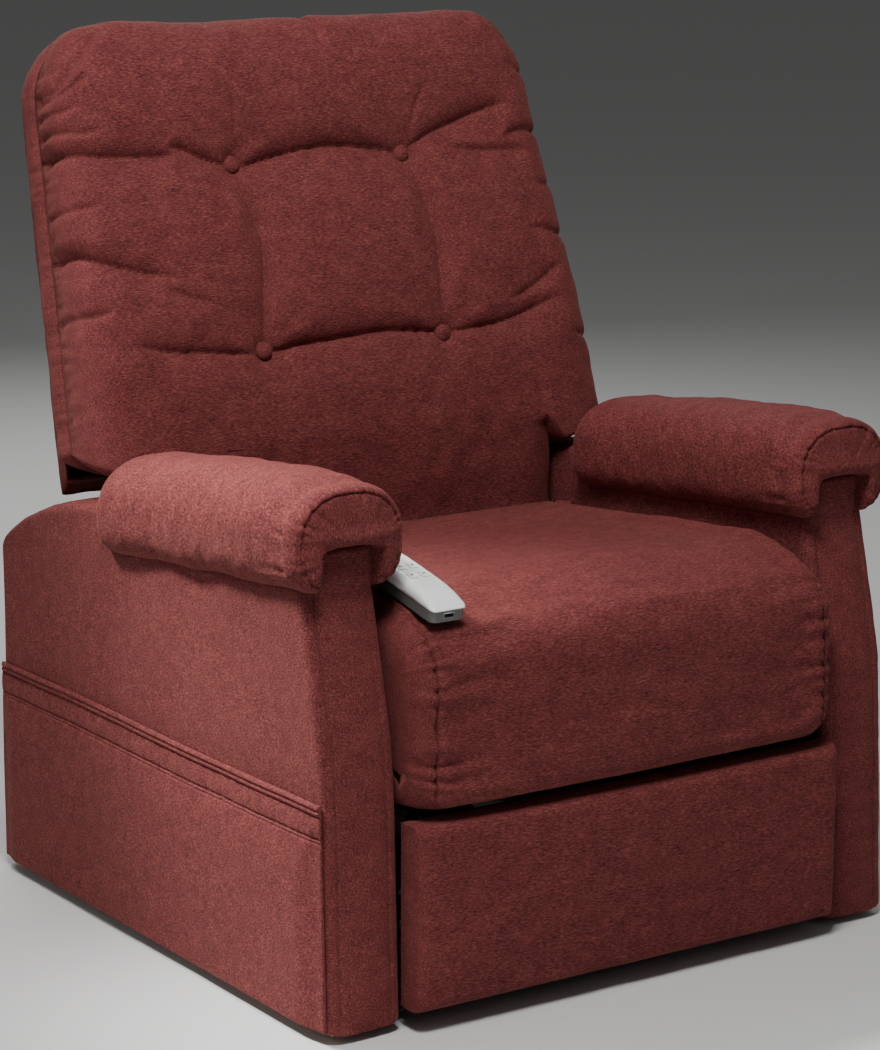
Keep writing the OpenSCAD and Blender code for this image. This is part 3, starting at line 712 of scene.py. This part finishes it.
def wing_cloth(side):
    """cloth drawn across under a wing of the back, inside its shell"""
    a = np.linspace(0, TAU, 80, endpoint=False)
    c, q = np.cos(a), np.sin(a)
    v = 105.5 + 27.0 * np.sign(c) * np.abs(c) ** 0.3
    low = shell_low(v) + 2.6 + 1.8 * np.sign(q) * np.abs(q) ** 0.6
    reach = np.interp(v, [78, 84, 90, 97, 105, 132], [66, 60, 54, 50, 47.5, 45.5])
    S = []
    for f in np.linspace(0, 1, 24):
        w = low + 0.5 * lumps(v, np.full(80, 44 * f), 40, 34)
        S.append(np.stack([(304 + f * reach) * side, v, w], 1))
    verts, faces = loft(np.array(S))
    o = make("back_wing_cloth_" + SIDE_NAME[side], verts, faces, "back", cloth, back_place)
    tidy_normals(o)
    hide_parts("back_panel")


def tidy_normals(o):
    bm = bmesh.new()
    bm.from_mesh(o.data)
    bmesh.ops.recalc_face_normals(bm, faces=bm.faces)
    bm.to_mesh(o.data)
    bm.free()


def thick(o, t):
    m = o.modifiers.new("thick", "SOLIDIFY")
    m.thickness, m.offset = t * 0.001, -1.0
    apply_all(o)


def apply_all(o):
    dg = bpy.context.evaluated_depsgraph_get()
    dg.update()
    new = bpy.data.meshes.new_from_object(o.evaluated_get(dg))
    o.modifiers.clear()
    o.data = new
    new.polygons.foreach_set("use_smooth", [True] * len(new.polygons))


back_cushion()
buttons()
back_shell()
back_flap()
for side in (-1, 1):
    wing_cloth(side)

# ---------------------------------------------------------------- seat cushion

# side view of the cushion, y and z: under the nose, up its front, back along the top, and the flat below
SEAT_SHOWN = [(-416, 245), (-428, 249), (-437, 258), (-443, 272), (-445, 290), (-444.5, 345), (-444, 400),
              (-441, 418), (-433, 432), (-423, 443), (-410, 452), (-372, 466), (-330, 475), (-300, 478),
              (-250, 473), (-175, 467), (-100, 460), (-20, 453), (52, 447), (100, 442)]
SEAT_HIDDEN = [(112, 438), (96, 390), (66, 300), (-40, 300), (-200, 300), (-334, 300), (-334, 256),
               (-350, 245)]
SEAT_HALF = 298
SEAT_SEAM = 274  # where the top's side seams run


def seat_cushion():
    p = np.array(SEAT_SHOWN + SEAT_HIDDEN, float)
    q, keep = [], []
    for i in range(len(p)):
        a, b = p[i], p[(i + 1) % len(p)]
        d = math.hypot(*(b - a))
        shown = i < len(SEAT_SHOWN)
        n = max(2, int(d / (3.2 if shown else 12)))
        for k in range(n):
            q.append(a + (b - a) * k / n)
            keep.append(1.0 if shown else 0.0)
    q, g = np.array(q), np.array(keep)
    soft = q.copy()
    for _ in range(14):
        s = (np.roll(soft, 1, 0) + np.roll(soft, -1, 0) + 2 * soft) / 4
        soft = np.where(g[:, None] > 0, s, soft)
    q = soft
    for _ in range(10):
        g = (np.roll(g, 1) + np.roll(g, -1) + 2 * g) / 4
    t = np.roll(q, -1, 0) - np.roll(q, 1, 0)
    nrm = np.stack([-t[:, 1], t[:, 0]], 1)
    nrm /= np.linalg.norm(nrm, axis=1, keepdims=True)
    centre = np.array([-200, 360.0])
    if ((q[40] - centre) @ nrm[40]) < 0:
        nrm = -nrm
    run = np.concatenate([[0], np.cumsum(np.linalg.norm(np.diff(q, axis=0), axis=1))])
    R = 46.0
    beside = np.array([-3, -2, -1, -0.5, 0, 0.5, 1, 2, 3])
    extra = np.concatenate([beside - SEAT_SEAM, beside + SEAT_SEAM])
    cs, co, ch, _ = arcs(R, R, 24, 200, 2.3)
    x = -(SEAT_HALF - R) + 2 * (SEAT_HALF - R) * cs + co
    add_x = np.interp(extra, x, np.arange(len(x)))
    idx = np.unique(np.round(np.concatenate([np.arange(len(x)), add_x]), 3))
    x, h = np.interp(idx, np.arange(len(x)), x), np.interp(idx, np.arange(len(ch)), ch)
    S = []
    nose = smooth(470, 440, q[:, 1]) * g
    up = g * smooth(0, 60, run) * smooth(690, 640, run)
    for xi, hi in zip(x, h):
        inset = R * (1 - hi)
        crown = 9.0 * (1 - (xi / SEAT_HALF) ** 2) * up
        d = abs(xi) - SEAT_SEAM
        gat = gathers(run, np.full(len(run), abs(d)), 20, 330, 42 if xi > 0 else 41, 15, 32, 4.4, 0.15)
        low = 0.35 + 0.65 * nose
        pinch = (8.0 * gat + 4.2 * ridge(d, 1.8) + 4.0 * math.exp(-abs(d) / 14)) * up * low
        across = np.full(len(run), xi)
        lump = (1.4 * lumps(run, across, 190, 43) + 0.35 * lumps(run, across, 45, 44)) * up
        dent = 1.5 * ridge(run - 120, 60) * ridge(xi + 210, 60)
        y = q + nrm * (crown + lump - pinch - dent - inset * (0.15 + 0.85 * g))[:, None]
        S.append(np.stack([np.full(len(y), xi), y[:, 0], y[:, 1]], 1))
    S = np.array(S)
    side = smooth(252, 284, np.abs(x))[:, None] * np.ones(len(run))[None, :]
    held = np.maximum(np.maximum(side, 1 - up[None, :]), smooth(60, 108, q[:, 0])[None, :])
    move = puff(S, held, 9.0, 1.0)
    S = S + move * (1 - held)[..., None]
    verts, faces = loft(S, "poly")
    o = make("seat_cushion_soft", verts, faces, "chassis", cloth)
    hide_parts("seat_cushion")


seat_cushion()

# ---------------------------------------------------------------- footrest pad


def footrest():
    cols, rows = arcs(16, 16, 12, 220), arcs(14, 14, 12, 76)
    U, V, H = panel(cols, rows, (16, 16), (14, 14), level(-300), level(300), level(25), level(236))
    # upright creases: place, width, depth
    creases = ((150, 6, 1.3), (172, 5, 0.9), (196, 7, 1.1), (96, 9, 0.7), (225, 6, 0.8), (-40, 14, 0.6),
               (-170, 10, 0.6))
    folds = sum(a * ridge(U - x - 0.06 * (V - 120), s) for x, s, a in creases)
    fade = smooth(60, 200, V) * 0.6 + 0.4 * smooth(120, 40, V)
    bulge = 4.5 * (1 - (U / 300) ** 2) ** 0.5 * arch(V, 25, 205) ** 0.7
    D = -428 - 12.5 * H - bulge * H + folds * fade * H + 0.7 * lumps(U, V, 120, 51) * H
    D = D + 0.8 * gathers(U, 230 - V, -290, 290, 52, 26, 24, 6, 0.2) * H
    P = np.stack([U, D, V], 2)
    e = rim(P)
    rings = []
    n = rim_out(e[:, [0, 2]])
    wrap = ((-424, 0.6), (-417, 0.9), (-408, 0.6), (-401, 0.2), (-398.6, -1.2), (-398.2, -5), (-398.2, -9))
    for y, o in wrap:
        r = e.copy()
        r[:, 0] += n[:, 0] * o
        r[:, 2] += n[:, 1] * o
        r[:, 1] = y
        rings.append(r)
    verts, faces = closed_from(P, rings)
    o = make("footrest_pad_soft", verts, faces, "footrest", cloth)
    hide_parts("footrest_pad")


footrest()

# ---------------------------------------------------------------- arms

ARM_OUT, ARM_IN = 400, 305
ARM_MID = 347.5  # the middle of the arm's front strip
ARM_REAR = 355
# how the arm's edge band is rounded: x and how far it stands out
ARM_BAND = [(386.2, -0.7), (385.0, -0.9), (383, 1.0), (379, 2.4), (372, 3.6), (362, 4.4), (352.5, 4.8),
            (343, 4.4), (333, 3.6), (326, 2.4), (322, 1.0), (320, -0.9), (318.8, -0.7)]


def pad_low(y):
    return 493 - 0.0814 * (y + 378)


def arm_front(z):
    return np.interp(z, [11, 245, 322, 406, 493, 560], [-412, -403, -397, -378, -357, -345])


def arm_top(y):
    back = np.interp(y, [62, 110, 178, 220, 258, 295, 325, 340, 348, ARM_REAR],
                     [512, 509, 502, 492, 478, 463, 446, 436, 427, 412])
    return np.where(y < 66, pad_low(y) + 13, back)


def arm(side):
    """the upholstered shell of an arm. side is -1 for the sitter's right and +1 for the left"""
    body, name = "chassis", "arm_cover_" + SIDE_NAME[side]
    R = 13.0
    cols, rows = arcs(R, R, 12, 190), arcs(6, 12, 12, 130)
    U, V, H = panel(cols, rows, (R, R), (6, 12), arm_front, level(ARM_REAR), level(11), arm_top)
    crown = 2.2 * arch(U, -400, 750) ** 0.6 * arch(V, 11, 480, 0.02) ** 0.6
    if side < 0:
        # the pocket lies flat on the lower part
        crown = crown * smooth(262, 300, V) - 0.6
    pin = gathers(V, U - arm_front(V), 60, 470, 61, 44, 22, 8, 0.3)
    under = gathers(U, arm_top(U) - V, -350, 50, 62, 30, 20, 7, 0.3) * 0.8 * (U < 60)
    X = ARM_OUT - R + (R + crown) * H - (pin + under) * H + 0.8 * lumps(U, V, 170, 63) * H
    outer = np.stack([X * side, U, V], 2)
    e = rim(outer)
    n = rim_out(e[:, [1, 2]])
    rings = []
    front = smooth(-300, -360, e[:, 1]) * smooth(12, 40, e[:, 2])
    for x, o in ARM_BAND:
        wave = 0.5 * lumps(e[:, 2] + e[:, 1], np.full(len(e), x), 90, 64) * (o > 0)
        r = e.copy()
        k = o * (0.35 + 0.65 * front) + wave
        r[:, 0] = x * side
        r[:, 1] += n[:, 0] * k
        r[:, 2] += n[:, 1] * k
        rings.append(r)
    verts, faces = closed_from(outer, rings, False)
    edge_x = ARM_BAND[-1][0]
    inner = np.stack([np.where(H > 0, ARM_IN + (edge_x - ARM_IN) * (1 - H), edge_x) * side, U, V], 2)
    verts, faces = backed(verts, faces, inner, len(e))
    o = make(name + "_fabric", verts, faces, body, cloth_side)
    tidy_normals(o)
    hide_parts(name)
    # the strip of the front panel that runs up into the pad's arch, rounded off over its last 9 mm
    S = []
    a = np.linspace(0, TAU, 96, endpoint=False)
    c, s = np.cos(a), np.sin(a)
    for z in np.concatenate([np.linspace(470, 536, 30), 545 - 9 * np.cos(np.linspace(0.1, math.pi / 2, 9))]):
        k = math.sqrt(max(0.0, 1 - max(0, (z - 536) / 9.0) ** 2))
        half, deep = 32.0 + 4 * k, 15.0 * (0.35 + 0.65 * k)
        px = ARM_MID + half * np.sign(c) * np.abs(c) ** 0.35
        py = float(np.interp(z, [470, 488, 505, 545], [-361.8, -360.5, -365.5, -366.0])) + 15.0
        py = py + deep * np.sign(s) * np.abs(s) ** 0.5 + (1.0 if z < 476 else 0)
        py = py - 1.8 * (s < 0) * (1 - ((px - ARM_MID) / 37) ** 2) * k
        S.append(np.stack([px * side, py, np.full(96, z)], 1))
    verts, faces = loft(np.array(S))
    o = make("arm_front_strip_" + SIDE_NAME[side], verts, faces, body, cloth)
    tidy_normals(o)
    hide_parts(name)


def arm_pad(side):
    """a fat roll with a capped front. Its front has an arch that the arm's front strip runs up into"""
    N = 240
    a = np.linspace(0, TAU, N, endpoint=False) - math.pi / 2
    c, s = np.cos(a), np.sin(a)
    cx = np.sign(c) * np.abs(c) ** np.where(s > 0, 0.80, 0.62)
    sz = np.sign(s) * np.abs(s) ** np.where(s > 0, 0.92, 0.56)
    prof_y = [-378, -352, -320, -230, -141, 0, 50, 72, 86]
    prof_z = [602, 611, 617, 611, 604, 585, 578, 570, 562]
    cap_k = 0.845  # the flat of the cap, as a share of the roll's size
    # stations along y: the cap from its middle out, round its edge, along the roll and round its rear end
    stations, S = [], []
    for k in np.linspace(0.03, 1, 34):
        stations.append((-378.0, k * cap_k))
    for th in np.linspace(0, math.pi / 2, 14)[1:]:
        stations.append((-350 - 28 * math.cos(th) ** 0.9, cap_k + (1 - cap_k) * math.sin(th) ** 0.9))
    for y in np.linspace(-350, 46, 116)[1:]:
        stations.append((y, 1.0))
    for th in np.linspace(0, math.pi / 2, 22)[1:]:
        stations.append((46 + 40 * math.sin(th) ** 0.9, max(0.02, math.cos(th) ** 0.62)))
    for y, k in stations:
        top, low = float(np.interp(y, prof_y, prof_z)), float(pad_low(y)) + 1.0
        if y < -349:
            top = 613.0
        mid, hh = (top + low) / 2, (top - low) / 2
        hw = 72.0 + 1.6 * math.sin(y / 61.0)
        x, z = 348.5 + hw * k * cx, mid - 4 * (1 - k) + hh * k * sz
        yy = np.full(N, y)
        if y <= -349:
            # crowned cap, with the seam line at its edge
            yy = yy - 5.0 * (1 - (min(k, cap_k) / cap_k) ** 2.5) * (y < -377)
            off = np.full(N, abs(k - 0.85) * 70)
            pinch = gathers(a * 60, off, -100, 400, 71 if side < 0 else 72, 15, 12, 3.4, 0.2)
            yy = yy + 3.2 * ridge(k - 0.85, 0.018) + 3.4 * pinch
        # the arch
        ax = np.abs(x - ARM_MID)
        inside = smooth(41.5, 34.5, ax) * smooth(549.5, 542, z + 0.10 * np.clip(ax - 20, 0, 20) ** 1.3)
        reach = smooth(-352, -362, yy) if y > -377 else 1.0
        lip = 5.5 * np.exp(-(np.maximum(ax - 46, z - 557) ** 2) / 90.0) * (z < 575) * (ax < 60)
        if y < -349:
            yy = yy + 21 * inside * reach - lip * (1 - inside) * (k < 0.86) * 0.7
        roll = 0.9 * lumps(np.full(N, y), a * 60, 110, 73) + 0.4 * lumps(np.full(N, y), a * 60, 34, 74)
        if y > -352:
            fold = gathers(a * 70, np.full(N, y + 352.0), -110, 440, 75 if side < 0 else 76, 19, 22, 4.0, 0.2)
            amt = roll * k - 4.2 * fold
        else:
            amt = 0.3 * roll * k
        x = x + amt * c
        z = z + amt * s
        S.append(np.stack([x * side, yy, z], 1))
    verts, faces = loft(np.array(S))
    name = "arm_pad_" + SIDE_NAME[side]
    o = make(name + "_soft", verts, faces, "chassis", cloth_up)
    tidy_normals(o)
    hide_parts(name)


for side in (-1, 1):
    arm(side)
    arm_pad(side)

# ---------------------------------------------------------------- side pocket


def pocket():
    def front(v):
        return arm_front(v) + 6.0

    def mouth(u):
        return 268.5 + 1.2 * np.sin(u / 90.0)

    rear, low, outside = 350, 14, 408.6
    zs = np.unique(np.concatenate([np.linspace(0, 1, 90), np.linspace(0.83, 1.0, 60)]))
    cols, rows = arcs(4, 4, 6, 250), arcs(3, 2.5, 6, 100, 2.35, zs)
    U, V, H = panel(cols, rows, (4, 4), (3, 2.5), front, level(rear), level(low), mouth)
    d = mouth(U) - V
    # its top and sides lie against the arm, and its middle stands off
    near = np.maximum(smooth(46, 2, U - front(V)), smooth(40, 2, rear - U))
    lean = 6.4 * np.maximum(smooth(90, 4, d), near)
    welts = 1.5 * ridge(d - 3.4, 2.2) + 1.3 * ridge(d - 9.2, 2.2)
    rows_of_stitches = ((6.4, 1.0, 1.3), (12.6, 1.2, 1.5), (38, 1.4, 1.8), (42.5, 1.2, 1.0))
    lines = sum(h * ridge(d - at, w) for at, w, h in rows_of_stitches)
    band = gathers(U, np.abs(d - 14), -400, 345, 81, 13, 10, 4, 0.5) * (d > 12) * (d < 39)
    band = band + gathers(U, np.abs(d - 38), -400, 345, 82, 12, 9, 4, 0.5) * (d > 12) * (d < 60)
    crown = 0.9 * arch(d, 13, 25) + 2.2 * arch(V, low, 215) ** 0.7 * arch(U, -405, 755) ** 0.5
    X = outside + 1.5 * H - lean + (welts - lines + crown - 1.5 * band) * H + 0.5 * lumps(U, V, 160, 83) * H
    P = np.stack([-X, U, V], 2)
    e = rim(P)
    rings = []
    for k in (0.5, 1.0, 1.5):
        r = e.copy()
        r[:, 0] = e[:, 0] + k
        rings.append(r)
    verts, faces = closed_from(P, rings, False)
    inner = np.stack([np.minimum(P[..., 0], lean - outside) + 1.8, U, V], 2)
    verts, faces = backed(verts, faces, inner, len(e))
    o = make("side_pocket_fabric", verts, faces, "chassis", cloth_side)
    tidy_normals(o)
    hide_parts("side_pocket")


pocket()

# ---------------------------------------------------------------- rear panel of the base


def rear_panel():
    cols, rows = arcs(4, 4, 6, 160), arcs(4, 4, 6, 90)
    low, top = 24, 350
    U, V, H = panel(cols, rows, (4, 4), (4, 4), level(-ARM_IN), level(ARM_IN), level(low), level(top))
    hems = 1.2 * ridge(top - 12 - V, 1.6) + 1.2 * ridge(V - low - 16, 1.6)
    Y = 345 + 3.4 * H + (0.7 * lumps(U, V, 150, 91) - hems) * H
    P = np.stack([-U, Y, V], 2)
    e = rim(P)
    r1, r2 = e.copy(), e.copy()
    r1[:, 1], r2[:, 1] = 343, 341.4
    r2[:, [0, 2]] = r2[:, [0, 2]] * 0.99 + np.array([0, 187]) * 0.01
    verts, faces = closed_from(P, [r1, r2])
    o = make("rear_panel_fabric", verts, faces, "chassis", cloth)
    tidy_normals(o)
    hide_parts("rear_panel")


rear_panel()

# ---------------------------------------------------------------- handset's arched shell


KEYS = [(x, y) for y in (-58, -82) for x in (-8, 8)]
HAND_LENGTH, HAND_HALF, HAND_SEAM, HAND_END = 148, 23, 13.2, 9
# height of the shell's crown along the handset, from the nose to the tail
HAND_Y = [-148, -145, -140, -132, -122, -110, -95, -80, -50, -30, -12, -4, 0]
HAND_TOP = [14.6, 16.6, 19.0, 21.9, 24.5, 26.3, 27.2, 27.3, 27.2, 26.9, 25.4, 22.6, 19.5]


def handset():
    turn = np.linspace(0, math.pi / 2, 12)
    nose = HAND_END * (1 - np.cos(turn)) - HAND_LENGTH
    tail = -HAND_END * (1 - np.sin(turn))
    f = np.linspace(0, math.pi, 61)
    c, q = np.cos(f), np.sin(f)
    S = []
    for y in np.concatenate([nose, np.linspace(HAND_END - HAND_LENGTH, -HAND_END, 90)[1:], tail[1:]]):
        front = max(0.0, (HAND_END - HAND_LENGTH - y) / HAND_END)
        rear = max(0.0, (y + HAND_END) / HAND_END)
        half = HAND_HALF - 9 * (1 - math.sqrt(max(0, 1 - rear**2)))
        half = half - 5.5 * (1 - math.sqrt(max(0, 1 - front**2)))
        x = half * np.sign(c) * np.abs(c) ** 0.42
        z = HAND_SEAM + (float(np.interp(y, HAND_Y, HAND_TOP)) - HAND_SEAM) * np.abs(q) ** 0.5
        S.append(np.stack([x, np.full(61, y), z], 1))
    S = np.array(S)
    verts = S.reshape(-1, 3)
    k, n, _ = S.shape
    faces = net(k, n) + [tuple(range(n)), tuple(range(k * n - 1, (k - 1) * n - 1, -1))]
    o = make("handset_shell_gloss", verts, faces, "handset", finish["handset_white"], hand_place)
    tidy_normals(o)
    thick(o, 1.7)
    # windows for the keys
    corners = ((-1, -1), (1, -1), (1, 1), (-1, 1))
    sides = ((3, 2, 1, 0), (4, 5, 6, 7), (0, 1, 5, 4), (1, 2, 6, 5), (2, 3, 7, 6), (3, 0, 4, 7))
    cut_v, cut_f = [], []
    for x, y in KEYS:
        at = len(cut_v)
        cut_v += [(x + a * 4.9, y + b * 6.9, z) for z in (15.0, 34.0) for a, b in corners]
        cut_f += [tuple(at + i for i in f) for f in sides]
    mesh = bpy.data.meshes.new("cut")
    mesh.from_pydata((hand_place(np.array(cut_v, float)) * 0.001).tolist(), [], cut_f)
    tool = bpy.data.objects.new("cut", mesh)
    scene.collection.objects.link(tool)
    m = o.modifiers.new("keys", "BOOLEAN")
    m.operation, m.solver, m.object = "DIFFERENCE", "EXACT", tool
    apply_all(o)
    bpy.data.objects.remove(tool)
    bpy.data.meshes.remove(mesh)
    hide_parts("handset_shell")


handset()


def marked(base):
    """the keys' plastic, with a small green bar printed on the top of each"""
    m = base.copy()
    m.name = "key_white_marked"
    t = m.node_tree
    p = t.nodes["Principled BSDF"]
    c = t.nodes.new("ShaderNodeTexCoord")
    xyz = t.nodes.new("ShaderNodeSeparateXYZ")
    t.links.new(c.outputs["Generated"], xyz.inputs[0])
    inside = []
    for axis, mid, half in (("X", 0.5, 0.17), ("Y", 0.5, 0.10), ("Z", 1.0, 0.3)):
        off = math_node(t, "ABSOLUTE", math_node(t, "SUBTRACT", xyz.outputs[axis], mid), 0.0)
        inside.append(math_node(t, "LESS_THAN", off, half))
    on = math_node(t, "MULTIPLY", math_node(t, "MULTIPLY", inside[0], inside[1]), inside[2])
    mix = t.nodes.new("ShaderNodeMix")
    mix.data_type = "RGBA"
    t.links.new(on, mix.inputs[0])
    t.links.new(p.inputs["Base Color"].links[0].from_socket, mix.inputs[6])
    mix.inputs[7].default_value = (0.03, 0.30, 0.07, 1)
    t.links.new(mix.outputs[2], p.inputs["Base Color"])
    return m


key_mat = marked(finish["handset_white"])
for node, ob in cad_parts.items():
    if node.startswith("key_"):
        for s in ob.material_slots:
            s.material = key_mat

# ---------------------------------------------------------------- camera: fitted to the view of the object
AZ, EL, DIST = math.radians(-33.44), math.radians(11.15), 3.90499
target = Vector((-0.07863, -0.012, 0.55244))
back = Vector((math.sin(AZ) * math.cos(EL), -math.cos(AZ) * math.cos(EL), math.sin(EL)))
cam_data = bpy.data.cameras.new("camera")
cam = bpy.data.objects.new("camera", cam_data)
scene.collection.objects.link(cam)
cam.location = target + back * DIST
cam.rotation_euler = back.to_track_quat("Z", "Y").to_euler()
cam_data.sensor_width = 36.0
cam_data.lens = 110.79
cam_data.shift_x, cam_data.shift_y = 0.0627, -0.0629
scene.camera = cam

# ---------------------------------------------------------------- floor and light
floor_mesh = bpy.data.meshes.new("floor")
floor_mesh.from_pydata([(-30, -30, 0), (30, -30, 0), (30, 30, 0), (-30, 30, 0)], [], [(0, 1, 2, 3)])
floor = bpy.data.objects.new("floor", floor_mesh)
scene.collection.objects.link(floor)
m, t, p = node_mat("floor")
p.inputs["Base Color"].default_value = (0.62, 0.62, 0.61, 1)
p.inputs["Roughness"].default_value = 0.9
floor_mesh.materials.append(m)
floor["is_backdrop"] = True
world = bpy.data.worlds.new("world")
world.use_nodes = True
world.node_tree.nodes["Background"].inputs["Color"].default_value = (1, 1, 1, 1)
world.node_tree.nodes["Background"].inputs["Strength"].default_value = 0.10
scene.world = world


def area(name, loc, size, power, aim):
    d = bpy.data.lights.new(name, "AREA")
    d.size, d.energy = size, power
    o = bpy.data.objects.new(name, d)
    o.location = loc
    o.rotation_euler = (Vector(loc) - Vector(aim)).to_track_quat("Z", "Y").to_euler()
    scene.collection.objects.link(o)


area("key", (-1.45, 0.55, 2.55), 0.55, 10, (-0.35, -0.1, 0.55))
area("front", (-0.95, -1.2, 3.05), 0.9, 84, (0, 0, 0.65))
area("side", (-3.0, 0.1, 1.4), 1.4, 11, (-0.3, 0, 0.4))
area("fill", (0.7, -3.6, 2.2), 2.0, 4, (0, 0, 0.7))
area("rim", (0.9, 2.8, 2.4), 1.8, 46, (0, 0, 0.6))
# a soft pool of light on the sitter's right arm
pool = bpy.data.lights.new("pool", "SPOT")
pool.energy, pool.spot_size, pool.spot_blend, pool.shadow_soft_size = 520, math.radians(20), 0.8, 0.18
lamp = bpy.data.objects.new("pool", pool)
lamp.location = (-1.35, 0.95, 2.35)
lamp.rotation_euler = (lamp.location - Vector((-0.5, -0.17, 0.55))).to_track_quat("Z", "Y").to_euler()
scene.collection.objects.link(lamp)

write_size("visual")
